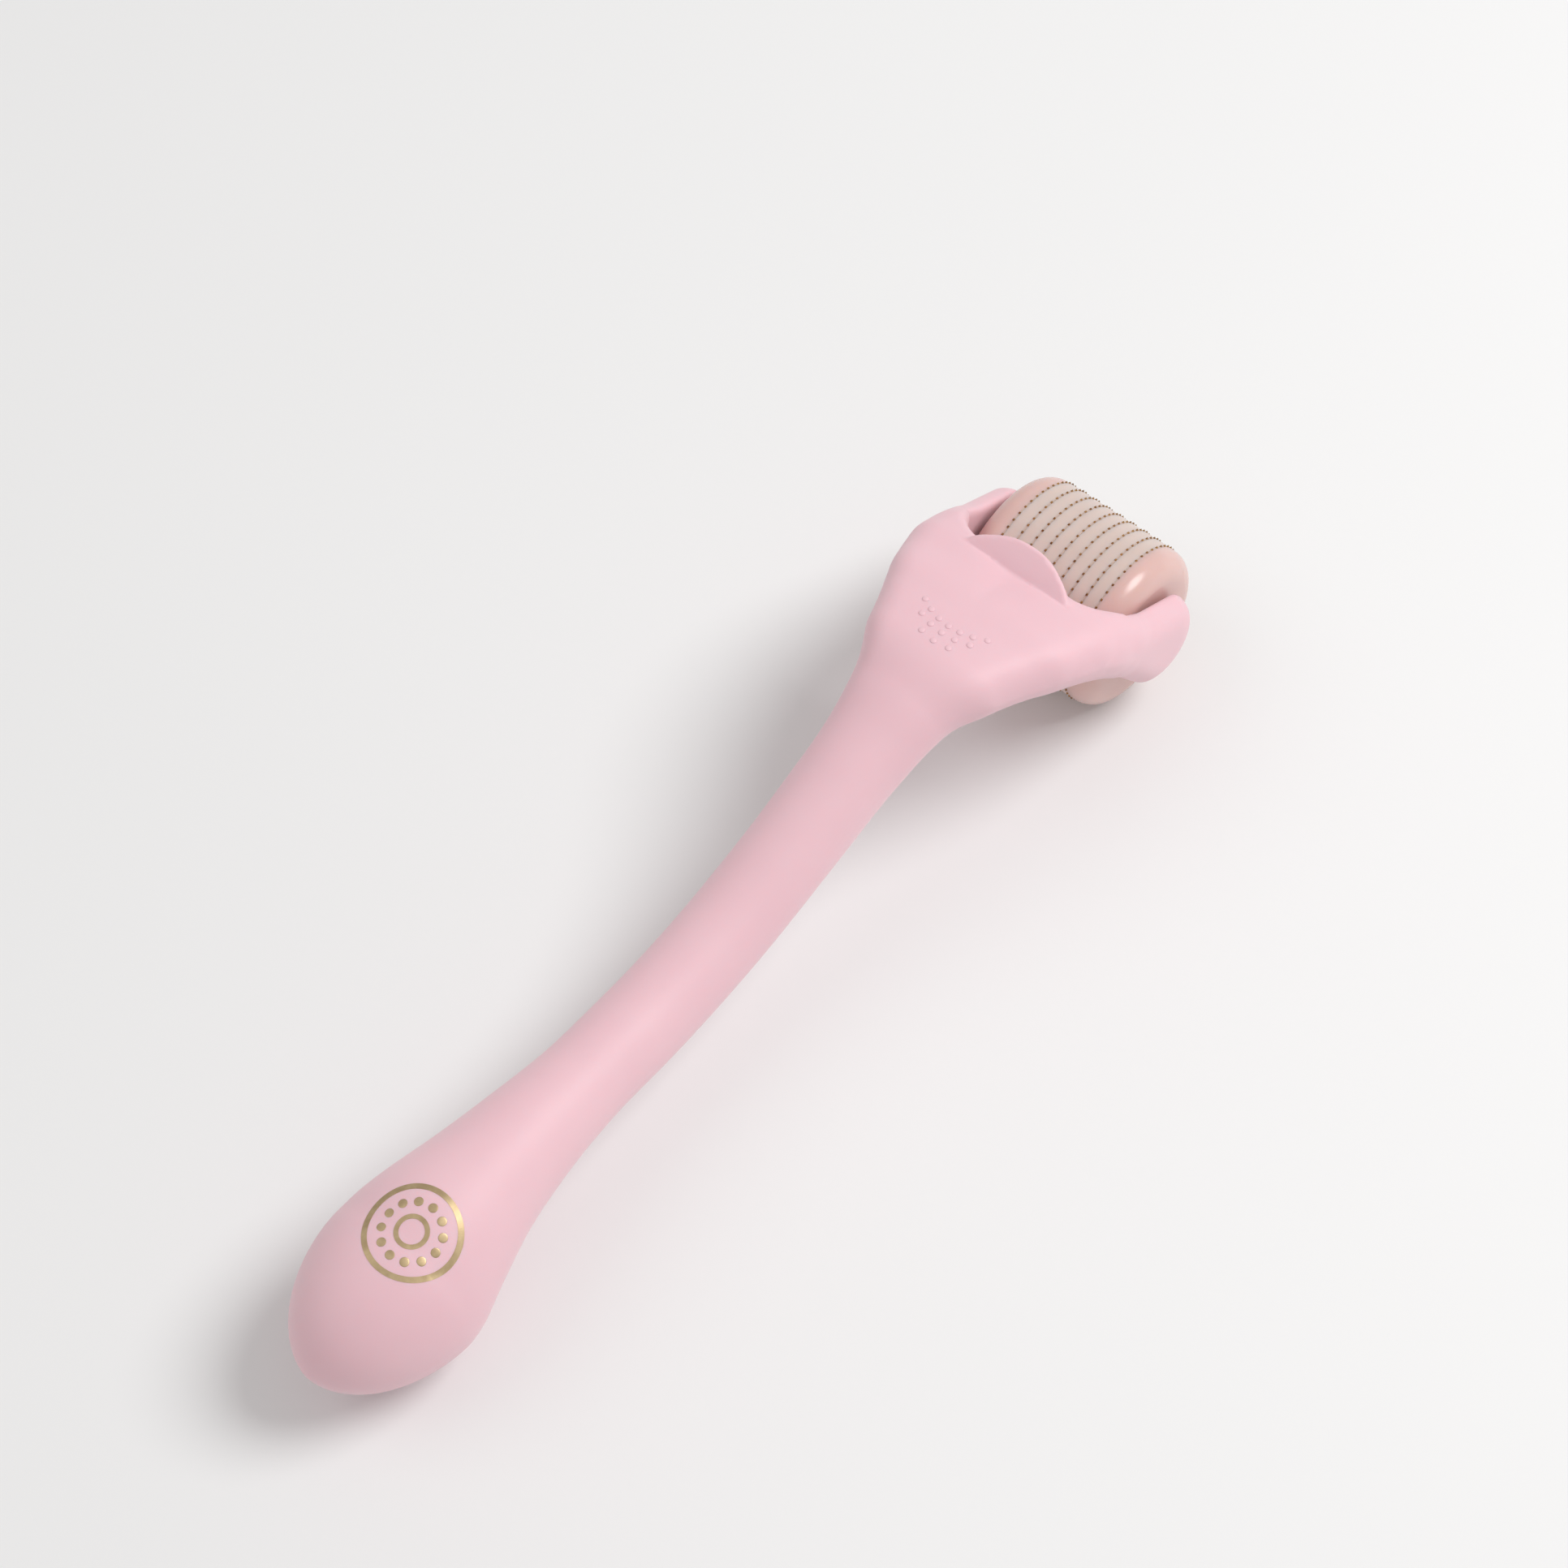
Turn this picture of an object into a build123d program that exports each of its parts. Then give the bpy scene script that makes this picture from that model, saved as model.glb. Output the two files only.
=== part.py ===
from build123d import *
import math
import os

os.makedirs("parts", exist_ok=True)

# Derma roller: a needle drum that turns freely in the fork of a one-piece handle.
# Millimetres. +X runs along the handle towards the head, +Y along the drum's axle and
# +Z up. The roller lies on a table on its drum and on the bulb of its handle, and the
# origin is on that table, under the middle of the whole.

# ---- driving sizes ----
overall_length = 145.6        # end of the bulb to the front of the drum

# needle drum
disc_count = 9                # needle discs side by side
needles_per_disc = 60
needle_length = 0.25          # how far a needle stands out of the spacers
needle_width = 0.30           # at its root
spacer_radius = 10.90
disc_pitch = 1.90
disc_thickness = 0.15
disc_groove = 0.05            # a disc's rim lies this deep between its spacers
cap_width = 3.40              # an end cap, outside the outermost disc
cap_edge_radius = 2.90
cap_floor = 1.60              # wall of a cap between the stack and the arm
core_radius = 4.60            # keyed shaft that carries the stack
core_flat = 3.60              # from its axis to the flat that keys it
core_clearance = 0.04
pin_radius = 1.55             # trunnion at each end of the shaft

# fits between the drum and the fork
socket_clearance = 0.05       # radial, round a trunnion
play_right = 0.50             # side gap on the -Y side, to which the drum has slid
play_left = 0.90
drum_gap = 1.50               # between needle tips and the hollow of the head
pin_end_gap = 0.40

# fork and head
arm_thickness = 3.70
lobe_radius = 6.00            # rounded end of an arm
lobe_rise = 2.00              # its centre above the axle
lobe_edge_radius = 1.50
socket_depth = 2.40
notch_depth = 9.60            # from the axle back to the bottom of the fork
notch_corner_radius = 3.50
guard_reach = 7.50            # from the axle back to the front of the thumb guard
guard_half_width = 8.30
guard_slope_length = 4.10     # its sloping face, measured along the handle
guard_height = 17.80          # top of the guard, above the axle
guard_foot_height = 15.90
guard_crest = 0.9             # flat top of the guard, behind its front
guard_root = 1.6              # how deep it is sunk in the head
arm_inset = 0.3               # an arm is this much inside its lobe's faces where they join
arm_overlap = 0.6             # an arm's lobe is made this much thicker, then cut flat

# grip
bulb_radius = 10.45
bulb_floor_gap = 0.15         # the egg's tilt brings its end down by this
bulb_end_length = 14.90        # from the widest place to the tip: a blunt egg
bulb_taper_length = 31.6      # from the widest place to the start of the neck
neck_radius = 5.20
neck_section_gap = 17.0       # the round neck has a section about this often
neck_start_rise = 2.80        # centre line above the bulb's centre, where the neck starts

# raised grip dots behind the guard, in arcs that bow towards the bulb: distance of the
# arc's middle behind the axle, half its width, how far its ends stand forward, count
dot_radius = 0.42
dot_height = 0.16
seam_offset = 0.03   # the arcs' middle stands this far beside the skin's seam line
dot_rows = ((23.1, 4.7, 1.2, 7), (24.5, 3.6, 0.7, 5), (25.9, 2.0, 0.25, 3))

# ---- places worked out from them ----
needle_tip_radius = spacer_radius + needle_length
axle_x = overall_length / 2 - needle_tip_radius
axle_z = needle_tip_radius
axle = Vector(axle_x, 0, axle_z)
stack_width = disc_pitch * (disc_count - 1) + disc_thickness
drum_width = stack_width + 2 * cap_width
fork_width = drum_width + play_left + play_right
arm_inner_y = fork_width / 2
arm_outer_y = arm_inner_y + arm_thickness
drum_y = (play_right - play_left) / 2
spacer_width = disc_pitch - disc_thickness
hollow_radius = needle_tip_radius + drum_gap
socket_radius = pin_radius + socket_clearance
bore_radius = core_radius + core_clearance


def cross_plane(y, at=axle):
    """A plane square to the axle, its own x along the handle and its own y up."""
    return Plane(origin=(at.X, y, at.Z), x_dir=(1, 0, 0), z_dir=(0, -1, 0))


# ---- the drum's stack, from -Y to +Y ----
def keyed_hole(radius, flat):
    """A round hole with one flat, which keys a ring on the shaft."""
    with BuildSketch(mode=Mode.PRIVATE) as hole:
        Circle(radius)
        with Locations((0, flat)):
            Rectangle(2 * radius, radius, align=(Align.CENTER, Align.MIN), mode=Mode.SUBTRACT)
    return hole.sketch


def needle_outline(phase):
    """The rim of a disc with its needles, as one closed line of points."""
    rim_radius = spacer_radius - disc_groove
    half_root = math.degrees(needle_width / 2 / rim_radius)
    step = 360 / needles_per_disc
    points = []
    for n in range(needles_per_disc):
        middle = n * step + phase
        for radius, angle in (
            (rim_radius, middle - half_root),
            (needle_tip_radius, middle),
            (rim_radius, middle + half_root),
        ):
            turn = math.radians(angle)
            points.append((radius * math.cos(turn), radius * math.sin(turn)))
    return points


disc_middles = [drum_y + (n - (disc_count - 1) / 2) * disc_pitch for n in range(disc_count)]
needle_step = 360 / needles_per_disc

for n, middle in enumerate(disc_middles):
    # the discs are stacked at no set angle to one another
    phase = needle_step * ((n * 0.37) % 1.0)
    with BuildPart() as needle_disc:
        with BuildSketch(cross_plane(middle)):
            with BuildLine():
                Polyline(*needle_outline(phase), close=True)
            make_face()
            add(keyed_hole(bore_radius, core_flat + core_clearance), mode=Mode.SUBTRACT)
        extrude(amount=disc_thickness / 2, both=True)
    name = f"needle_disc_{n + 1}"
    needle_disc.part.label = name
    export_step(needle_disc.part, f"parts/{name}.step")

for n in range(disc_count - 1):
    middle = (disc_middles[n] + disc_middles[n + 1]) / 2
    with BuildPart() as spacer_ring:
        with BuildSketch(cross_plane(middle)):
            Circle(spacer_radius)
            add(keyed_hole(bore_radius, core_flat + core_clearance), mode=Mode.SUBTRACT)
        extrude(amount=spacer_width / 2, both=True)
        chamfer(
            spacer_ring.edges().filter_by(GeomType.CIRCLE).group_by(SortBy.RADIUS)[-1],
            length=disc_groove,
        )
    name = f"spacer_ring_{n + 1}"
    spacer_ring.part.label = name
    export_step(spacer_ring.part, f"parts/{name}.step")

stack_ends = {"right": drum_y - stack_width / 2, "left": drum_y + stack_width / 2}

for side, outward in (("right", -1), ("left", 1)):
    seat = cross_plane(stack_ends[side])
    if outward > 0:
        seat = Plane(origin=seat.origin, x_dir=(1, 0, 0), z_dir=(0, 1, 0))
    with BuildPart() as end_cap:
        with BuildSketch(seat):
            Circle(spacer_radius)
        extrude(amount=cap_width)
        fillet(end_cap.faces().sort_by(Axis((0, 0, 0), seat.z_dir))[-1].edges(), cap_edge_radius)
        with BuildSketch(seat):
            Circle(core_radius + core_clearance)
        extrude(amount=cap_width - cap_floor, mode=Mode.SUBTRACT)
        with BuildSketch(seat):
            Circle(pin_radius + core_clearance)
        extrude(amount=cap_width, mode=Mode.SUBTRACT)
    name = f"end_cap_{side}"
    end_cap.part.label = name
    export_step(end_cap.part, f"parts/{name}.step")

# ---- the shaft: keyed between the caps, with a trunnion at each end ----
shoulder = cap_width - cap_floor
with BuildPart() as drum_core:
    with BuildSketch(cross_plane(drum_y)):
        add(keyed_hole(core_radius, core_flat))
    extrude(amount=stack_width / 2 + shoulder, both=True)
    pin_right = drum_y - drum_width / 2 - play_right - socket_depth + pin_end_gap
    pin_left = drum_y + drum_width / 2 + play_left + socket_depth - pin_end_gap
    with BuildSketch(cross_plane(pin_left)):
        Circle(pin_radius)
    extrude(amount=pin_left - pin_right)
    chamfer(
        drum_core.edges().filter_by(GeomType.CIRCLE).group_by(Axis.Y)[0]
        + drum_core.edges().filter_by(GeomType.CIRCLE).group_by(Axis.Y)[-1],
        length=0.3,
    )
drum_core.part.label = "drum_core"
export_step(drum_core.part, "parts/drum_core.step")

# ---- the handle ----
bulb_centre = Vector(-overall_length / 2 + bulb_end_length, 0, bulb_radius + bulb_floor_gap)
bulb_tilt = math.degrees(math.atan2(neck_start_rise, bulb_taper_length))
bulb_axis = Vector(math.cos(math.radians(bulb_tilt)), 0, math.sin(math.radians(bulb_tilt)))
bulb_plane = Plane(origin=bulb_centre, x_dir=bulb_axis, z_dir=(0, -1, 0))
neck_start = bulb_centre + bulb_axis * bulb_taper_length

# centre line and half sizes of the neck and head, each row measured from the axle:
# distance behind it, height above it, half width, half height
head_sections = (
    (54.0, 6.1, 5.45, 5.35),
    (45.0, 9.1, 5.70, 5.60),
    (36.5, 12.4, 6.80, 5.30),
    (28.5, 14.9, 8.90, 4.40),
    (20.0, 14.1, 12.20, 4.50),
    (12.5, 11.4, 14.30, 5.50),
    (guard_reach - 0.2, 10.4, 14.60, 5.80),
)
# one arm of the fork: distance behind the axle, height above it, distance from the
# middle plane, half thickness, half height
arm_middle_y = arm_inner_y + arm_thickness / 2
arm_sections = (
    (28.0, 14.9, arm_middle_y - 8.0, 3.0, 3.3),
    (20.0, 13.7, arm_middle_y - 3.7, 2.7, 3.6),
    (12.0, 10.9, arm_middle_y - 1.1, 2.1, 4.1),
    (3.0, 4.2, arm_middle_y, arm_thickness / 2 - arm_inset, 5.2),
)

with BuildPart() as handle:
    # bulb: round end, egg-shaped taper to the neck
    with BuildSketch(bulb_plane):
        with BuildLine():
            tip = (-bulb_end_length, 0)
            shoulder_point = (-0.62 * bulb_end_length, 0.765 * bulb_radius)
            widest = (0, bulb_radius)
            end = (bulb_taper_length, neck_radius)
            Spline(tip, shoulder_point, widest, tangents=[(0, 1), (1, 0)])
            Spline(widest, (bulb_taper_length * 0.42, bulb_radius * 0.70), end,
                   tangents=[(1, 0), (1, 0)])
            Polyline(end, (bulb_taper_length, 0), tip)
        make_face()
    revolve(axis=Axis(bulb_centre, bulb_axis))

    # neck and head: one smooth skin, round where it meets the bulb's taper
    neck_reach = axle.X - head_sections[0][0] - neck_start.X
    neck_climb = axle.Z + head_sections[0][1] - neck_start.Z
    neck_steps = max(2, round(neck_reach / neck_section_gap))
    with BuildSketch(Plane(origin=neck_start, x_dir=(0, 1, 0), z_dir=bulb_axis)):
        Circle(neck_radius)
    for n in range(1, neck_steps):
        share = n / neck_steps
        middle = neck_start + Vector(share * neck_reach, 0, share**4 * neck_climb)
        with BuildSketch(Plane(origin=middle, x_dir=(0, 1, 0), z_dir=(1, 0, 0))):
            Circle(neck_radius)
    for back, up, half_width, half_height in head_sections:
        middle = axle + Vector(-back, 0, up)
        with BuildSketch(Plane(origin=middle, x_dir=(0, 1, 0), z_dir=(1, 0, 0))):
            Ellipse(half_width, half_height)
    loft()

    # arms of the fork, each ending in a round lobe
    lobe_centre = axle + Vector(0, 0, lobe_rise)
    lobe_start = arm_inner_y - arm_overlap
    for side in (-1, 1):
        for back, up, out, half_thick, half_high in arm_sections:
            middle = axle + Vector(-back, side * out, up)
            with BuildSketch(Plane(origin=middle, x_dir=(0, 1, 0), z_dir=(1, 0, 0))):
                Ellipse(half_thick, half_high)
        loft()
        with BuildSketch(Plane(origin=lobe_centre, x_dir=(1, 0, 0), z_dir=(0, 0, side))):
            with BuildLine():
                rim = (lobe_radius, arm_outer_y)
                FilletPolyline((0, arm_outer_y), rim, (lobe_radius, lobe_start), radius=lobe_edge_radius)
                Polyline((lobe_radius, lobe_start), (0, lobe_start), (0, arm_outer_y))
            make_face()
        revolve(axis=Axis(lobe_centre, (0, 1, 0)))

    # thumb guard: a low wall whose back slopes down to the thumb rest
    guard_foot = guard_reach + guard_slope_length
    with BuildSketch(cross_plane(0)):
        with BuildLine():
            Polyline(
                (-guard_foot - guard_root, guard_foot_height - guard_root),
                (-guard_foot, guard_foot_height),
                (-guard_reach - guard_crest, guard_height),
                (0, guard_height),
                (0, guard_foot_height - guard_root),
                close=True,
            )
        make_face()
    extrude(amount=guard_half_width, both=True)

# ---- what is cut out of the handle for the drum ----
# the guard's front is an arc through its two ends, and the notch stands back beside it
guard_circle = (guard_half_width**2 + guard_slope_length**2) / (2 * guard_slope_length)
with BuildPart() as fork_space:
    with BuildSketch(Plane(origin=(axle.X, 0, axle.Z - 2 * hollow_radius))) as fork_front:
        with Locations((-notch_depth, 0)):
            Rectangle(4 * hollow_radius, fork_width, align=(Align.MIN, Align.CENTER))
        with Locations((-guard_reach - guard_circle, 0)):
            Circle(guard_circle, mode=Mode.SUBTRACT)
        corners = fork_front.vertices().filter_by(lambda v: abs(v.Y) > arm_inner_y - 0.01)
        fillet(corners.filter_by(lambda v: v.X < 0), notch_corner_radius)
    extrude(amount=4 * hollow_radius)
    with BuildSketch(cross_plane(arm_inner_y)):
        Circle(hollow_radius)
    extrude(amount=fork_width)
    # blind sockets for the trunnions
    with BuildSketch(cross_plane(arm_inner_y + socket_depth)):
        Circle(socket_radius)
    extrude(amount=fork_width + 2 * socket_depth)

with handle:
    add(fork_space.part, mode=Mode.SUBTRACT)

# ---- raised grip dots, in arcs on the top of the head ----
dot_ball = (dot_radius**2 + dot_height**2) / (2 * dot_height)
dot_centres = []
for reach, half_span, sag, count in dot_rows:
    for n in range(count):
        share = 2 * n / (count - 1) - 1
        place = (axle.X - reach + sag * share**2, half_span * share + seam_offset, 4 * axle.Z)
        above = Axis(place, (0, 0, -1))
        hits = handle.part.find_intersection_points(above)
        top, normal = max(hits, key=lambda hit: hit[0].Z)
        dot_centres.append(top - normal * (dot_ball - dot_height))
with handle:
    with Locations(*dot_centres):
        Sphere(dot_ball)

handle.part.label = "handle"
export_step(handle.part, "parts/handle.step")
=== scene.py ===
import math

import bmesh
import bpy
import numpy as np
from mathutils import Matrix, Vector


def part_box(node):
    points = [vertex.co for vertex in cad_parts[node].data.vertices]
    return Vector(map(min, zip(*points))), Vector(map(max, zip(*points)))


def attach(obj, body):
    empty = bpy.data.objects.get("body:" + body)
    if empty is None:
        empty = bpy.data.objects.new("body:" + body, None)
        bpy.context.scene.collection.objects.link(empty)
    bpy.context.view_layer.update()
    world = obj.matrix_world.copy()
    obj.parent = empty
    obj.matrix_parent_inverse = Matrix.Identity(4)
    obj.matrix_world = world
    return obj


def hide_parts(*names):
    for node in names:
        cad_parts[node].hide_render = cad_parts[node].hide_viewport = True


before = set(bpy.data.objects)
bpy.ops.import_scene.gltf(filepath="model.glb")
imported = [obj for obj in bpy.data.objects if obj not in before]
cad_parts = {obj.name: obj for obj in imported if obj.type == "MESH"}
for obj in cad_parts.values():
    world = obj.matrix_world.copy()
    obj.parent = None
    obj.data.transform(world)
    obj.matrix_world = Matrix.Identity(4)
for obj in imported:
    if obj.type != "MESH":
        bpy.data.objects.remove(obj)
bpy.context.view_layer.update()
MM = 0.001

# ---- sizes and places, in millimetres ----
# the handle's shape is worked out about the axle: x along the handle, y along the axle
disc_low, disc_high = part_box("needle_disc_1")
AXLE = np.array([(disc_low[0] + disc_high[0]) / 2, 0.0, (disc_low[2] + disc_high[2]) / 2]) / MM
FORK_INNER = 11.775          # middle plane to an arm's inner face
FORK_OUTER = 15.45
HOLLOW_RADIUS = 12.65        # space that the drum turns in
SOCKET_RADIUS = 1.62
SOCKET_END = FORK_INNER + 2.42
NOTCH_BACK = 9.6             # bottom of the fork, behind the axle
GUARD_FRONT = 7.5            # front of the thumb guard, behind the axle
GUARD_HALF_WIDTH = 8.3
GUARD_SLOPE = 4.1
GUARD_TOP = 17.9
GUARD_FOOT = 15.95
GUARD_CREST = 0.7            # level stretch behind the guard's front
GUARD_BASE = 11.0            # the guard's wall reaches down to here, inside the head
BULB_RADIUS = 10.45
BULB_END = 14.9              # from the widest place to the tip
BULB_BLUNTNESS = 0.035       # how much fuller than an ellipse the bulb's end is
HEAD_FRONT = -7.0            # the head ends here, and the arms go on
ARM_DEPTH = 4.5              # an arm reaches this far inside its inner face, and is then cut
ARM_SPREAD = 0.9             # and this much more for each millimetre behind the lobe
ARM_PARTING = 8.0            # back of the lobe, behind the axle
NECK_LIMIT_END = 62.0        # behind this the side limit opens out
DISC_COUNT = 9
NEEDLE_COUNT = 60            # on each disc
RIM_RADIUS = 10.88           # the disc's rim, from which the needles stand
BORE_RADIUS = 4.64
DISC_THICKNESS = 0.15
# the grip dots' arcs: middle behind the axle, half width, how far the ends stand forward, count
GRIP_ROWS = ((23.7, 4.7, 1.5, 7), (25.0, 3.6, 0.8, 5), (26.5, 2.0, 0.3, 3))
GRIP_HEIGHT = 19.3
GRIP_DOT_RADIUS = 0.42
GRIP_DOT_HEIGHT = 0.14
ORNAMENT_PLACE = (-117.1, -1.2, 10.1)
ORNAMENT_RINGS = (("gold_ring_outer", 4.95, 5.6), ("gold_ring_inner", 1.45, 2.0))
ORNAMENT_DOTS = 3.45         # radius of the circle that the gold dots stand on
ORNAMENT_DOT_COUNT = 12
ORNAMENT_DOT_RADIUS = 0.55
PRINT_HEIGHT = 0.03          # the gold print stands this proud of the skin
PRINT_ROOT = 0.1             # and reaches this far into it
RING_STEPS = 120
# a needle's sections: height above the rim, half width along the rim and across it
NEEDLE_SECTIONS = (
    (-0.2, 0.15, 0.13), (0.03, 0.15, 0.13), (0.12, 0.11, 0.10), (0.21, 0.04, 0.04), (0.27, 0.006, 0.006),
)
NEEDLE_SPREAD = 0.12         # the shortest needle is this share shorter than the longest
PHASE_STEP = 0.37            # each disc is turned by this share of a needle's pitch
SKIN_STEP = 0.36             # cell size of the handle's mesh


# ---- curves through a few given stations ----
def curve(stations):
    """A smooth function through (place, value) pairs, level beyond its ends."""
    places = np.array([s[0] for s in stations], float)
    values = np.array([s[1] for s in stations], float)
    slopes = np.gradient(values, places)
    slopes[0] = slopes[-1] = 0.0

    def at(x):
        x = np.clip(x, places[0], places[-1])
        n = np.clip(np.searchsorted(places, x) - 1, 0, len(places) - 2)
        span = places[n + 1] - places[n]
        t = (x - places[n]) / span
        return (
            values[n] * (2 * t**3 - 3 * t**2 + 1)
            + slopes[n] * span * (t**3 - 2 * t**2 + t)
            + values[n + 1] * (3 * t**2 - 2 * t**3)
            + slopes[n + 1] * span * (t**3 - t**2)
        )

    return at


BULB_X = -119.5
centre_height = curve([
    (BULB_X, -0.45), (-112, 1.6), (-106, 2.6), (-99, 2.8), (-88, 2.2), (-76, 1.9), (-66, 3.0),
    (-55.6, 5.5), (-45, 9.0), (-39, 11.2), (-34, 13.4), (-29, 15.0), (-24, 15.3), (-20, 14.3),
    (-16, 12.5), (-12, 10.4), (-8, 9.0),
])
half_width = curve([
    (BULB_X, BULB_RADIUS), (-117, 10.25), (-112, 9.0), (-106, 7.45), (-99, 6.3), (-90, 5.4),
    (-80, 5.3), (-62, 5.3), (-48, 5.45), (-40, 6.0), (-36, 6.7), (-32, 7.7), (-28, 8.9), (-24, 10.45),
    (-20, 12.3), (-16, 14.1), (-13, 15.1), (-9, FORK_OUTER),
])
height_above = curve([
    (BULB_X, BULB_RADIUS), (-117, 10.25), (-112, 9.0), (-106, 7.45), (-99, 6.3), (-90, 5.4),
    (-80, 5.3), (-62, 5.3), (-48, 5.4), (-40, 5.2), (-32, 4.3), (-26, 3.26), (-20, 3.72), (-16, 4.7),
    (-12, 5.8), (-8, 6.2),
])
height_below = curve([
    (BULB_X, BULB_RADIUS), (-117, 10.35), (-112, 9.6), (-106, 8.3), (-99, 6.9), (-90, 5.7),
    (-80, 5.3), (-62, 5.3), (-40, 5.3), (-28, 4.7), (-16, 3.9), (-8, 3.2),
])
side_limit = curve([
    (-62, 13.0), (-54, 9.8), (-46, 8.2), (-40, 7.7), (-36, 7.8), (-32, 8.4), (-28, 9.4),
    (-24, 10.85), (-20, 12.6), (-16, 14.15), (-13, 14.95), (-9, FORK_OUTER),
])
squareness = curve([(-60, 2.0), (-30, 2.1), (-20, 2.3), (-10, 2.6)])


# ---- rounded solids as signed distance fields ----
def smooth_min(a, b, blend):
    share = np.clip(0.5 + 0.5 * (b - a) / blend, 0, 1)
    return b * (1 - share) + a * share - blend * share * (1 - share)


def smooth_max(a, b, blend):
    return -smooth_min(-a, -b, blend)


def bulb_neck_and_head(x, y, z):
    """Round bulb and neck that widen into the flattened head."""
    height = centre_height(x)
    wide = half_width(x)
    high = height_above(x)
    high = np.where(z < height, height_below(x), high)
    power = squareness(x)
    u = y / wide
    v = np.abs(z - height) / high
    reach = (u**power + v**power) ** (1 / power) + 1e-6
    steepness = np.hypot(u ** (power - 1) / wide, v ** (power - 1) / high)
    skin = (reach - 1) / (steepness / reach ** (power - 1) + 1e-6)
    # the bulb's end is a blunt egg
    end = np.clip(BULB_X - x, 0, None) / BULB_END
    around = np.hypot(y, z - height) / BULB_RADIUS
    fullness = BULB_BLUNTNESS * np.sin(2 * np.arctan2(end, around + 1e-9))
    egg = (np.sqrt(end**2 + around**2) + fullness - 1) * BULB_RADIUS
    skin = np.where(x < BULB_X, egg, skin)
    return smooth_max(skin, x - HEAD_FRONT, 3.0)


# an arm's side outline: a chain of discs (along, height, radius)
ARM_DISCS = (
    (-27.0, 15.0, 3.1), (-19.0, 13.8, 3.1), (-13.0, 12.0, 2.8), (-6.8, 7.4, 4.0), (-0.15, 1.3, 6.2),
)


def fork_arm(x, y, z):
    """One arm: its side outline, cut off along its inner side."""
    side = np.full(x.shape, 1e3)
    for (x0, z0, r0), (x1, z1, r1) in zip(ARM_DISCS, ARM_DISCS[1:]):
        run, rise = x1 - x0, z1 - z0
        t = np.clip(((x - x0) * run + (z - z0) * rise) / (run**2 + rise**2), 0, 1)
        link = np.hypot(x - x0 - t * run, z - z0 - t * rise) - (r0 + t * (r1 - r0))
        side = smooth_min(side, link, 1.2)
    inner = FORK_INNER - ARM_DEPTH - np.clip(-x - ARM_PARTING, 0, None) * ARM_SPREAD
    return smooth_max(side, inner - y, ARM_DEPTH)


GUARD_CIRCLE = (GUARD_HALF_WIDTH**2 + GUARD_SLOPE**2) / (2 * GUARD_SLOPE)


def guard_edge(x, y):
    """Distance from the guard's front arc, negative behind it."""
    return np.hypot(x + GUARD_FRONT + GUARD_CIRCLE, y) - GUARD_CIRCLE


def guard_slope(x):
    """Height of the guard's dished back, which rises from the thumb rest to the crest."""
    rise = np.clip((x + GUARD_FRONT + GUARD_SLOPE) / (GUARD_SLOPE - GUARD_CREST), 0, 1)
    return GUARD_FOOT + (GUARD_TOP - GUARD_FOOT) * rise**0.8


def thumb_guard(x, y, z):
    """A low wall with a dished back and a thin rounded crest."""
    wall = smooth_max(z - guard_slope(x), guard_edge(x, y), 0.8)
    wall = smooth_max(wall, -(x + GUARD_FRONT + GUARD_SLOPE + 0.6), 0.8)
    return np.maximum(wall, GUARD_BASE - z)


def guard_scoop(x, y, z):
    """The crescent cut out of the thumb rest in front of the guard's foot line."""
    open_side = np.maximum(guard_slope(x) - z, -(x + GUARD_FRONT + GUARD_SLOPE))
    return np.maximum(open_side, guard_edge(x, y))


def drum_space(x, y, z):
    """The open front of the fork, the hollow round the drum and the sockets."""
    front = smooth_max(-(x + NOTCH_BACK), y - FORK_INNER, 7.0)
    front = smooth_max(front, -guard_edge(x, y), 1.2)
    round_drum = np.maximum(np.hypot(x, z) - HOLLOW_RADIUS, y - FORK_INNER)
    socket = np.maximum(np.hypot(x, z) - SOCKET_RADIUS, y - SOCKET_END)
    return np.minimum(smooth_min(front, round_drum, 0.4), socket)


def handle_field(points):
    """Distance to the whole handle's skin, negative inside."""
    x, z = points[..., 0], points[..., 2]
    y = np.abs(points[..., 1])
    body = smooth_min(bulb_neck_and_head(x, y, z), fork_arm(x, y, z), 4.0)
    limit = side_limit(x) + np.clip(-NECK_LIMIT_END - x, 0, None)
    body = smooth_max(body, y - limit, 4.2)
    body = smooth_max(body, -guard_scoop(x, y, z), 0.15)
    body = smooth_min(body, thumb_guard(x, y, z), 0.2)
    return smooth_max(body, -drum_space(x, y, z), 0.9)


def onto_surface(points, rounds=4):
    """Moves points along the field's slope until they lie on the handle's skin."""
    nudge = 0.02
    for _ in range(rounds):
        value = handle_field(points)
        slope = np.stack(
            [(handle_field(points + nudge * axis) - value) / nudge for axis in np.eye(3)], axis=-1
        )
        length = np.maximum((slope**2).sum(-1), 0.2)
        points = points - (value / length)[:, None] * slope
    return points, slope / np.sqrt((slope**2).sum(-1))[:, None]


def drop_onto_surface(points, along, rounds=6):
    """Moves points along one direction until they lie on the handle's skin."""
    nudge = 0.02
    for _ in range(rounds):
        value = handle_field(points)
        climb = (handle_field(points + nudge * along) - value) / nudge
        points = points - (value / np.maximum(climb, 0.3))[:, None] * along
    return onto_surface(points, 1)


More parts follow.
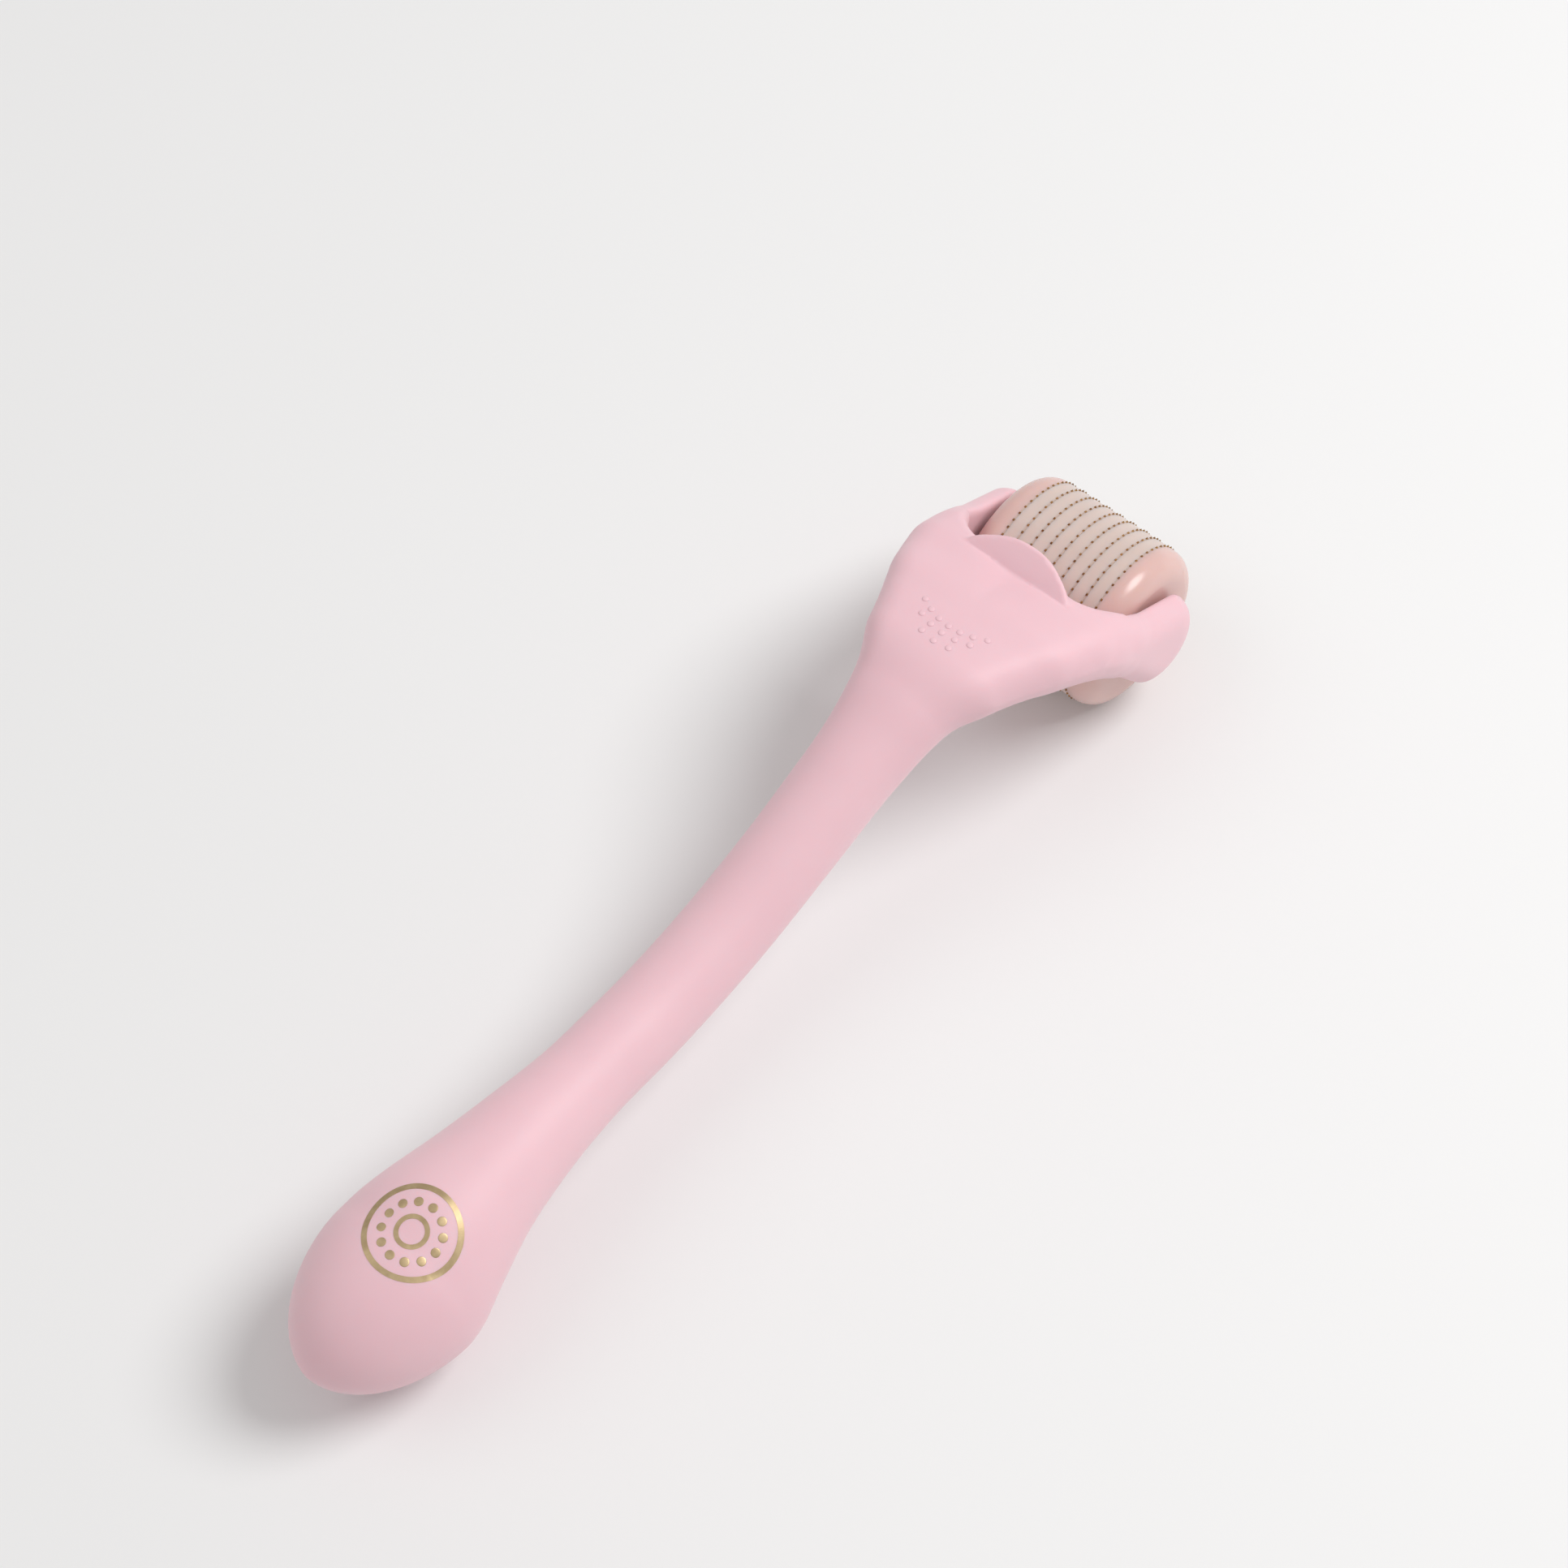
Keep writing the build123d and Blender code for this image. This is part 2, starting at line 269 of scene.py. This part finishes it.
def surface_net(field, low, high, step):
    """Points and quads of the surface where the field is zero, one point in each cell it crosses."""
    axes = [np.arange(a, b + step, step) for a, b in zip(low, high)]
    grid = np.stack(np.meshgrid(*axes, indexing="ij"), axis=-1)
    values = field(grid)
    inside = values < 0
    cells = tuple(n - 1 for n in values.shape)
    total = np.zeros(cells + (3,))
    count = np.zeros(cells)
    for axis in range(3):
        others = [a for a in range(3) if a != axis]
        near = [slice(None)] * 3
        far = [slice(None)] * 3
        near[axis], far[axis] = slice(0, -1), slice(1, None)
        a, b = values[tuple(near)], values[tuple(far)]
        crossed = (a < 0) != (b < 0)
        share = np.where(crossed, a / np.where(crossed, a - b, 1), 0)
        place = grid[tuple(near)].copy()
        place[..., axis] += share * step
        for i in (0, 1):
            for j in (0, 1):
                pick = [slice(None)] * 3
                pick[others[0]] = slice(i, i + cells[others[0]])
                pick[others[1]] = slice(j, j + cells[others[1]])
                hit = crossed[tuple(pick)]
                total += np.where(hit[..., None], place[tuple(pick)], 0)
                count += hit
    used = count > 0
    number = np.full(cells, -1)
    number[used] = np.arange(used.sum())
    points = total[used] / count[used][:, None]
    quads = []
    for axis in range(3):
        u, v = (axis + 1) % 3, (axis + 2) % 3
        near = [slice(1, -1)] * 3
        near[axis] = slice(0, -1)
        far = list(near)
        far[axis] = slice(1, None)
        a, b = inside[tuple(near)], inside[tuple(far)]
        at = np.argwhere(a != b)
        outward = a[tuple(at.T)]
        at[:, u] += 1
        at[:, v] += 1
        corners = []
        for du, dv in ((1, 1), (0, 1), (0, 0), (1, 0)):
            cell = at.copy()
            cell[:, u] -= du
            cell[:, v] -= dv
            corners.append(number[tuple(cell.T)])
        quad = np.stack(corners, axis=1)
        quads.append(np.where(outward[:, None], quad, quad[:, ::-1]))
    return points, np.concatenate(quads)


def mesh_piece(name, points, faces, material):
    """A smooth-shaded object from points in metres."""
    mesh = bpy.data.meshes.new(name)
    mesh.from_pydata([tuple(p) for p in points], [], [tuple(f) for f in faces])
    mesh.polygons.foreach_set("use_smooth", [True] * len(mesh.polygons))
    mesh.materials.append(material)
    mesh.update()
    piece = bpy.data.objects.new(name, mesh)
    bpy.context.scene.collection.objects.link(piece)
    return piece


# ---- materials ----
def new_material(name):
    """A material, its nodes and links, and its shader."""
    material = bpy.data.materials.new(name)
    material.use_nodes = True
    nodes = material.node_tree.nodes
    shader = nodes["Principled BSDF"]
    return material, nodes, material.node_tree.links, shader


def object_noise(nodes, links, scale, detail=2.0, roughness=0.5):
    """Noise in the piece's own coordinates; scale is in cells per metre."""
    where = nodes.new("ShaderNodeTexCoord")
    noise = nodes.new("ShaderNodeTexNoise")
    noise.inputs["Scale"].default_value = scale
    noise.inputs["Detail"].default_value = detail
    noise.inputs["Roughness"].default_value = roughness
    links.new(where.outputs["Object"], noise.inputs["Vector"])
    return noise.outputs["Fac"]


def mottle(nodes, links, amount, dark, light):
    """Colour that drifts between two near shades."""
    ramp = nodes.new("ShaderNodeValToRGB")
    ramp.color_ramp.elements[0].position = 0.3
    ramp.color_ramp.elements[0].color = (*dark, 1)
    ramp.color_ramp.elements[1].position = 0.7
    ramp.color_ramp.elements[1].color = (*light, 1)
    links.new(amount, ramp.inputs["Fac"])
    return ramp.outputs["Color"]


def bump(nodes, links, amount, shader, strength, depth):
    """Fine relief of the given depth in metres."""
    node = nodes.new("ShaderNodeBump")
    node.inputs["Strength"].default_value = strength
    node.inputs["Distance"].default_value = depth
    links.new(amount, node.inputs["Height"])
    links.new(node.outputs["Normal"], shader.inputs["Normal"])


def soft_touch_pink(name, depth):
    """Velvety rubber-like paint: matte, with a faint sheen and a very fine grain."""
    material, nodes, links, shader = new_material(name)
    slow = object_noise(nodes, links, 55, 3)
    colour = mottle(nodes, links, slow, (0.810, 0.520, 0.575), (0.840, 0.555, 0.607))
    links.new(colour, shader.inputs["Base Color"])
    fine = object_noise(nodes, links, 9000, 2, 0.6)
    bump(nodes, links, fine, shader, 0.25, 0.00003)
    shader.inputs["Roughness"].default_value = 0.52
    shader.inputs["Specular IOR Level"].default_value = 0.38
    shader.inputs["Sheen Weight"].default_value = 0.25
    shader.inputs["Sheen Roughness"].default_value = 0.5
    shader.inputs["Sheen Tint"].default_value = (1.0, 0.86, 0.88, 1)
    shader.inputs["Subsurface Weight"].default_value = depth
    shader.inputs["Subsurface Radius"].default_value = (1.0, 0.35, 0.3)
    shader.inputs["Subsurface Scale"].default_value = 0.0012
    return material


def cream_plastic():
    """Slightly translucent natural plastic with a satin moulded skin."""
    material, nodes, links, shader = new_material("cream_plastic")
    slow = object_noise(nodes, links, 160, 3)
    colour = mottle(nodes, links, slow, (0.660, 0.520, 0.470), (0.700, 0.560, 0.510))
    links.new(colour, shader.inputs["Base Color"])
    fine = object_noise(nodes, links, 5000, 2)
    bump(nodes, links, fine, shader, 0.15, 0.00002)
    shader.inputs["Roughness"].default_value = 0.36
    shader.inputs["Subsurface Weight"].default_value = 0.6
    shader.inputs["Subsurface Radius"].default_value = (1.0, 0.7, 0.5)
    shader.inputs["Subsurface Scale"].default_value = 0.0018
    return material


def peach_plastic():
    """Semi-gloss peach plastic of the end caps."""
    material, nodes, links, shader = new_material("peach_plastic")
    slow = object_noise(nodes, links, 120, 3)
    colour = mottle(nodes, links, slow, (0.690, 0.460, 0.425), (0.720, 0.490, 0.455))
    links.new(colour, shader.inputs["Base Color"])
    fine = object_noise(nodes, links, 3500, 2)
    bump(nodes, links, fine, shader, 0.10, 0.00002)
    shader.inputs["Roughness"].default_value = 0.24
    shader.inputs["Subsurface Weight"].default_value = 0.5
    shader.inputs["Subsurface Radius"].default_value = (1.0, 0.6, 0.4)
    shader.inputs["Subsurface Scale"].default_value = 0.0016
    return material


def gold_metal():
    """Gold-coloured needles, a little uneven in tone, as etched metal is."""
    material, nodes, links, shader = new_material("gold_metal")
    slow = object_noise(nodes, links, 2500, 2)
    colour = mottle(nodes, links, slow, (0.22, 0.10, 0.04), (0.55, 0.32, 0.12))
    links.new(colour, shader.inputs["Base Color"])
    shader.inputs["Metallic"].default_value = 0.9
    shader.inputs["Roughness"].default_value = 0.35
    return material


def disc_rim_and_groove_shade():
    """The discs' rims, a warm tan line between the spacers: partly the rims' own colour, partly painted
    shade of the groove between the spacers.
    """
    material, nodes, links, shader = new_material("disc_rim_and_groove_shade")
    slow = object_noise(nodes, links, 1800, 2)
    # painted shade: the tan is darker than the rim itself, to stand for the shade in the groove between
    # the spacers
    colour = mottle(nodes, links, slow, (0.50, 0.36, 0.29), (0.60, 0.45, 0.37))
    links.new(colour, shader.inputs["Base Color"])
    shader.inputs["Roughness"].default_value = 0.45
    return material


def gold_foil():
    """Satin gold print with a fine brushed grain."""
    material, nodes, links, shader = new_material("gold_foil")
    slow = object_noise(nodes, links, 900, 4)
    colour = mottle(nodes, links, slow, (0.46, 0.34, 0.19), (0.60, 0.46, 0.27))
    links.new(colour, shader.inputs["Base Color"])
    shader.inputs["Metallic"].default_value = 0.75
    shader.inputs["Roughness"].default_value = 0.42
    return material


def pale_floor():
    """A plain matte floor."""
    material, nodes, links, shader = new_material("pale_floor")
    slow = object_noise(nodes, links, 4, 2)
    colour = mottle(nodes, links, slow, (0.84, 0.84, 0.84), (0.86, 0.86, 0.86))
    links.new(colour, shader.inputs["Base Color"])
    shader.inputs["Roughness"].default_value = 0.9
    return material


PINK = soft_touch_pink("soft_touch_pink", 0.22)
PINK_DOTS = soft_touch_pink("soft_touch_pink_dots", 0.0)
CREAM = cream_plastic()
PEACH = peach_plastic()
GOLD = gold_metal()
RIM_AND_GROOVE_SHADE = disc_rim_and_groove_shade()
# the rims' material is partly their own colour, partly painted groove shade
FOIL = gold_foil()


# ---- the handle ----
def make_handle():
    """The whole handle as one moulding, in place of its CAD solid."""
    step = SKIN_STEP
    low = np.array([BULB_X - BULB_END - 1.5, -17.0, -12.5])
    high = np.array([8.0, 17.0, 21.0])
    points, quads = surface_net(handle_field, low, high, step)
    points, _ = onto_surface(points)
    handle = mesh_piece("handle_moulding", (points + AXLE) * MM, quads, PINK)
    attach(handle, "handle")
    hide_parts("handle")
    return handle


def outward(mesh, smooth):
    """Turns every face outward and sets the shading."""
    shape = bmesh.new()
    shape.from_mesh(mesh)
    bmesh.ops.recalc_face_normals(shape, faces=shape.faces)
    shape.to_mesh(mesh)
    shape.free()
    mesh.polygons.foreach_set("use_smooth", [smooth] * len(mesh.polygons))


# ---- repeated pieces, by Geometry Nodes ----
def node_group(name, inputs):
    """A Geometry Nodes group with the named inputs; gives the group and its two end nodes."""
    group = bpy.data.node_groups.new(name, "GeometryNodeTree")
    group.interface.new_socket("Geometry", in_out="INPUT", socket_type="NodeSocketGeometry")
    for label, kind in inputs:
        group.interface.new_socket(label, in_out="INPUT", socket_type=kind)
    group.interface.new_socket("Geometry", in_out="OUTPUT", socket_type="NodeSocketGeometry")
    return group, group.nodes.new("NodeGroupInput"), group.nodes.new("NodeGroupOutput")


def calculate(group, operation, a, b=None):
    """A Math node of two numbers or sockets; gives its result's socket."""
    node = group.nodes.new("ShaderNodeMath")
    node.operation = operation
    for socket, value in zip(node.inputs, (a, b)):
        if isinstance(value, (int, float)):
            socket.default_value = value
        elif value is not None:
            group.links.new(value, socket)
    return node.outputs[0]


def dress(group, geometry, material):
    """Realises the instances and sets their material."""
    real = group.nodes.new("GeometryNodeRealizeInstances")
    painted = group.nodes.new("GeometryNodeSetMaterial")
    group.links.new(geometry, real.inputs[0])
    group.links.new(real.outputs[0], painted.inputs["Geometry"])
    group.links.new(material, painted.inputs["Material"])
    return painted.outputs[0]


def needle_ring_group():
    """Needles set evenly round a thin plate, whose axis lies along y through the origin."""
    group, given, result = node_group("needle_ring", (
        ("Count", "NodeSocketInt"),
        ("Rim Radius", "NodeSocketFloat"),
        ("Plate Width", "NodeSocketFloat"),
        ("Plate Thickness", "NodeSocketFloat"),
        ("Phase", "NodeSocketFloat"),
        ("Length Spread", "NodeSocketFloat"),
        ("Seed", "NodeSocketInt"),
        ("Needle Material", "NodeSocketMaterial"),
        ("Plate Material", "NodeSocketMaterial"),
    ))
    nodes, links = group.nodes, group.links
    count, rim = given.outputs["Count"], given.outputs["Rim Radius"]
    index = nodes.new("GeometryNodeInputIndex").outputs[0]
    turn = calculate(group, "DIVIDE", 2 * math.pi, count)
    angle = calculate(group, "ADD", calculate(group, "MULTIPLY", index, turn), given.outputs["Phase"])
    place = nodes.new("ShaderNodeCombineXYZ")
    links.new(calculate(group, "MULTIPLY", calculate(group, "COSINE", angle), rim), place.inputs["X"])
    links.new(calculate(group, "MULTIPLY", calculate(group, "SINE", angle), rim), place.inputs["Z"])
    spots = nodes.new("GeometryNodePoints")
    links.new(count, spots.inputs["Count"])
    links.new(place.outputs[0], spots.inputs["Position"])
    euler = nodes.new("ShaderNodeCombineXYZ")
    links.new(calculate(group, "MULTIPLY", angle, -1.0), euler.inputs["Y"])
    rotation = nodes.new("FunctionNodeEulerToRotation")
    links.new(euler.outputs[0], rotation.inputs[0])
    spread = nodes.new("FunctionNodeRandomValue")
    spread.data_type = "FLOAT"
    floats = [socket for socket in spread.inputs if socket.type == "VALUE"]
    links.new(calculate(group, "SUBTRACT", 1.0, given.outputs["Length Spread"]), floats[0])
    floats[1].default_value = 1.0
    links.new(given.outputs["Seed"], spread.inputs["Seed"])
    stretch = nodes.new("ShaderNodeCombineXYZ")
    stretch.inputs["Y"].default_value = stretch.inputs["Z"].default_value = 1.0
    links.new([socket for socket in spread.outputs if socket.type == "VALUE"][0], stretch.inputs["X"])
    copies = nodes.new("GeometryNodeInstanceOnPoints")
    links.new(spots.outputs[0], copies.inputs["Points"])
    links.new(given.outputs["Geometry"], copies.inputs["Instance"])
    links.new(rotation.outputs[0], copies.inputs["Rotation"])
    links.new(stretch.outputs[0], copies.inputs["Scale"])

    # the plate: a flat section swept round a circle
    circle = nodes.new("GeometryNodeCurvePrimitiveCircle")
    circle.inputs["Resolution"].default_value = 160
    half = calculate(group, "DIVIDE", given.outputs["Plate Width"], 2.0)
    links.new(calculate(group, "SUBTRACT", rim, half), circle.inputs["Radius"])
    section = nodes.new("GeometryNodeCurvePrimitiveQuadrilateral")
    links.new(given.outputs["Plate Width"], section.inputs["Width"])
    links.new(given.outputs["Plate Thickness"], section.inputs["Height"])
    plate = nodes.new("GeometryNodeCurveToMesh")
    links.new(circle.outputs[0], plate.inputs["Curve"])
    links.new(section.outputs[0], plate.inputs["Profile Curve"])
    upright = nodes.new("GeometryNodeTransform")
    upright.inputs["Rotation"].default_value = (math.pi / 2, 0, 0)
    links.new(plate.outputs[0], upright.inputs["Geometry"])
    both = nodes.new("GeometryNodeJoinGeometry")
    links.new(dress(group, upright.outputs[0], given.outputs["Plate Material"]), both.inputs[0])
    links.new(dress(group, copies.outputs[0], given.outputs["Needle Material"]), both.inputs[0])
    links.new(both.outputs[0], result.inputs[0])
    return group


def dots_group():
    """A low dome on each point, standing along the point's own normal."""
    group, given, result = node_group("raised_dots", (
        ("Dot Radius", "NodeSocketFloat"),
        ("Dot Height", "NodeSocketFloat"),
        ("Material", "NodeSocketMaterial"),
    ))
    nodes, links = group.nodes, group.links
    spots = nodes.new("GeometryNodeMeshToPoints")
    links.new(given.outputs["Geometry"], spots.inputs["Mesh"])
    normal = nodes.new("GeometryNodeInputNamedAttribute")
    normal.data_type = "FLOAT_VECTOR"
    normal.inputs["Name"].default_value = "skin_normal"
    stand = nodes.new("FunctionNodeAlignRotationToVector")
    stand.axis = "Z"
    links.new(normal.outputs[0], stand.inputs["Vector"])
    ball = nodes.new("GeometryNodeMeshUVSphere")
    ball.inputs["Segments"].default_value = 20
    ball.inputs["Rings"].default_value = 10
    links.new(given.outputs["Dot Radius"], ball.inputs["Radius"])
    flat = nodes.new("ShaderNodeCombineXYZ")
    flat.inputs["X"].default_value = flat.inputs["Y"].default_value = 1.0
    share = calculate(group, "DIVIDE", given.outputs["Dot Height"], given.outputs["Dot Radius"])
    links.new(share, flat.inputs["Z"])
    dome = nodes.new("GeometryNodeTransform")
    links.new(ball.outputs["Mesh"], dome.inputs["Geometry"])
    links.new(flat.outputs[0], dome.inputs["Scale"])
    copies = nodes.new("GeometryNodeInstanceOnPoints")
    links.new(spots.outputs[0], copies.inputs["Points"])
    links.new(dome.outputs[0], copies.inputs["Instance"])
    links.new(stand.outputs[0], copies.inputs["Rotation"])
    links.new(dress(group, copies.outputs[0], given.outputs["Material"]), result.inputs[0])
    return group


def grown(name, mesh, group, values, smooth):
    """The plain mesh that the group makes of a seed mesh, as a new object."""
    seed = bpy.data.objects.new(name + "_seed", mesh)
    bpy.context.scene.collection.objects.link(seed)
    modifier = seed.modifiers.new("grow", "NODES")
    modifier.node_group = group
    for item in group.interface.items_tree:
        if item.in_out == "INPUT" and item.name in values:
            modifier[item.identifier] = values[item.name]
    bpy.context.view_layer.update()
    evaluated = seed.evaluated_get(bpy.context.evaluated_depsgraph_get())
    shape = bpy.data.meshes.new_from_object(evaluated)
    shape.name = name
    bpy.data.objects.remove(seed)
    outward(shape, smooth)
    piece = bpy.data.objects.new(name, shape)
    bpy.context.scene.collection.objects.link(piece)
    return piece


def needle_mesh():
    """One etched needle along x: a flat blade that narrows to a point."""
    shape = bmesh.new()
    rows = [
        [shape.verts.new((x * MM, y * MM, z * MM)) for y, z in ((-t, -w), (t, -w), (t, w), (-t, w))]
        for x, w, t in NEEDLE_SECTIONS
    ]
    for a, b in zip(rows, rows[1:]):
        for n in range(4):
            shape.faces.new((a[n], a[(n + 1) % 4], b[(n + 1) % 4], b[n]))
    shape.faces.new(rows[0][::-1])
    shape.faces.new(rows[-1])
    bmesh.ops.recalc_face_normals(shape, faces=shape.faces)
    mesh = bpy.data.meshes.new("needle")
    shape.to_mesh(mesh)
    shape.free()
    return mesh


def make_needle_discs():
    """Each disc as a thin plate with needles; the first disc is at -Y."""
    group = needle_ring_group()
    needle = needle_mesh()
    for n in range(DISC_COUNT):
        node = f"needle_disc_{n + 1}"
        low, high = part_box(node)
        piece = grown(f"needle_ring_{n + 1}", needle, group, {
            "Count": NEEDLE_COUNT,
            "Rim Radius": RIM_RADIUS * MM,
            "Plate Width": (RIM_RADIUS - BORE_RADIUS) * MM,
            "Plate Thickness": DISC_THICKNESS * MM,
            "Phase": 2 * math.pi / NEEDLE_COUNT * ((n * PHASE_STEP) % 1.0),
            "Length Spread": NEEDLE_SPREAD,
            "Seed": n + 1,
            "Needle Material": GOLD,
            # the rims carry a tan that is partly painted shade of the groove between the spacers
            "Plate Material": RIM_AND_GROOVE_SHADE,
        }, False)
        middle = (AXLE[0] * MM, (low[1] + high[1]) / 2, AXLE[2] * MM)
        piece.data.transform(Matrix.Translation(middle))
        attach(piece, "roller")
        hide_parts(node)


def seed_points(name, points, normals):
    """A mesh of loose points that carry the skin's normals."""
    mesh = bpy.data.meshes.new(name)
    mesh.from_pydata([tuple(p) for p in (points + AXLE) * MM], [], [])
    normal = mesh.attributes.new("skin_normal", "FLOAT_VECTOR", "POINT")
    normal.data.foreach_set("vector", normals.ravel())
    return mesh


def make_grip_dots(group):
    """Arcs of low domes on the thumb rest, bowed towards the bulb."""
    spots = []
    for back, half_span, forward, count in GRIP_ROWS:
        for t in np.linspace(-1, 1, count):
            spots.append((-back + forward * t * t, half_span * t, GRIP_HEIGHT))
    points, normals = onto_surface(np.array(spots))
    seeds = seed_points("grip_dots_seed", points, normals)
    dots = grown("grip_dots", seeds, group, {
        "Dot Radius": GRIP_DOT_RADIUS * MM,
        "Dot Height": GRIP_DOT_HEIGHT * MM,
        "Material": PINK_DOTS,
    }, True)
    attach(dots, "handle")


def make_ornament(group):
    """A plain gold print on the bulb: a circle of dots between two rings."""
    centre, normal = onto_surface(np.array([ORNAMENT_PLACE]))
    across = np.cross((1.0, 0.0, 0.0), normal[0])
    across /= np.linalg.norm(across)
    along = np.cross(normal[0], across)

    def circle(radius, count):
        turn = np.arange(count) * 2 * np.pi / count
        flat = centre + radius * (np.cos(turn)[:, None] * across + np.sin(turn)[:, None] * along)
        return drop_onto_surface(flat, normal[0])

    points, normals = circle(ORNAMENT_DOTS, ORNAMENT_DOT_COUNT)
    dots = grown("gold_dots", seed_points("gold_dots_seed", points, normals), group, {
        "Dot Radius": ORNAMENT_DOT_RADIUS * MM,
        "Dot Height": PRINT_HEIGHT * MM,
        "Material": FOIL,
    }, True)
    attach(dots, "handle")
    for name, inside, outside in ORNAMENT_RINGS:
        inner, inner_normal = circle(inside, RING_STEPS)
        outer, outer_normal = circle(outside, RING_STEPS)
        corners = np.concatenate([
            inner - PRINT_ROOT * inner_normal, inner + PRINT_HEIGHT * inner_normal,
            outer + PRINT_HEIGHT * outer_normal, outer - PRINT_ROOT * outer_normal,
        ])
        faces = []
        for n in range(RING_STEPS):
            m = (n + 1) % RING_STEPS
            for side in range(4):
                a, b = side * RING_STEPS, (side + 1) % 4 * RING_STEPS
                faces.append((a + n, b + n, b + m, a + m))
        ring = mesh_piece(name, (corners + AXLE) * MM, faces, FOIL)
        outward(ring.data, False)
        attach(ring, "handle")


def dress_cad_nodes():
    """Finishes for the parts that stay as the frame has them."""
    for name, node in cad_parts.items():
        if name == "handle" or name.startswith("needle_disc"):
            continue
        material = PEACH if name.startswith("end_cap") else CREAM
        for place in node.material_slots:
            place.material = material


# ---- floor, light and camera ----
def make_stage():
    """The floor and the room's even light."""
    mesh = bpy.data.meshes.new("floor")
    mesh.from_pydata([(-3, -3, 0), (3, -3, 0), (3, 3, 0), (-3, 3, 0)], [], [(0, 1, 2, 3)])
    mesh.materials.append(pale_floor())
    floor = bpy.data.objects.new("floor", mesh)
    bpy.context.scene.collection.objects.link(floor)
    world = bpy.data.worlds.new("soft_room")
    world.use_nodes = True
    background = world.node_tree.nodes["Background"]
    background.inputs["Color"].default_value = (1.0, 0.985, 0.975, 1)
    background.inputs["Strength"].default_value = 0.50
    bpy.context.scene.world = world


def soft_light(name, place, size, power):
    """A round area light that faces the object."""
    data = bpy.data.lights.new(name, "AREA")
    data.shape = "DISK"
    data.size = size
    data.energy = power
    lamp = bpy.data.objects.new(name, data)
    lamp.location = place
    lamp.rotation_euler = (-Vector(place)).to_track_quat("-Z", "Y").to_euler()
    bpy.context.scene.collection.objects.link(lamp)


def make_camera():
    """The view down onto the roller, over the left of its bulb, with a long lens."""
    from_axle = Vector((-208.3, -151.4, 370.9))
    right = Vector((0.651, -0.758, -0.039)).normalized()
    back = Vector((-0.377, -0.368, 0.850))
    back = (back - back.dot(right) * right).normalized()
    up = back.cross(right)
    place = (Vector(AXLE) + from_axle) * MM
    data = bpy.data.cameras.new("camera")
    data.lens = 83.85
    data.sensor_width = 36
    data.clip_start = 0.01
    camera = bpy.data.objects.new("camera", data)
    turn = Matrix((right, up, back)).transposed().to_4x4()
    camera.matrix_world = Matrix.Translation(place) @ turn
    bpy.context.scene.collection.objects.link(camera)
    bpy.context.scene.camera = camera


make_stage()
make_camera()
soft_light("key", (0.42, -0.36, 0.70), 0.45, 4.8)
soft_light("fill", (-0.35, 0.45, 0.75), 0.70, 0.9)
bpy.context.scene.view_settings.view_transform = "Standard"
make_handle()
dots = dots_group()
make_grip_dots(dots)
make_ornament(dots)
make_needle_discs()
dress_cad_nodes()
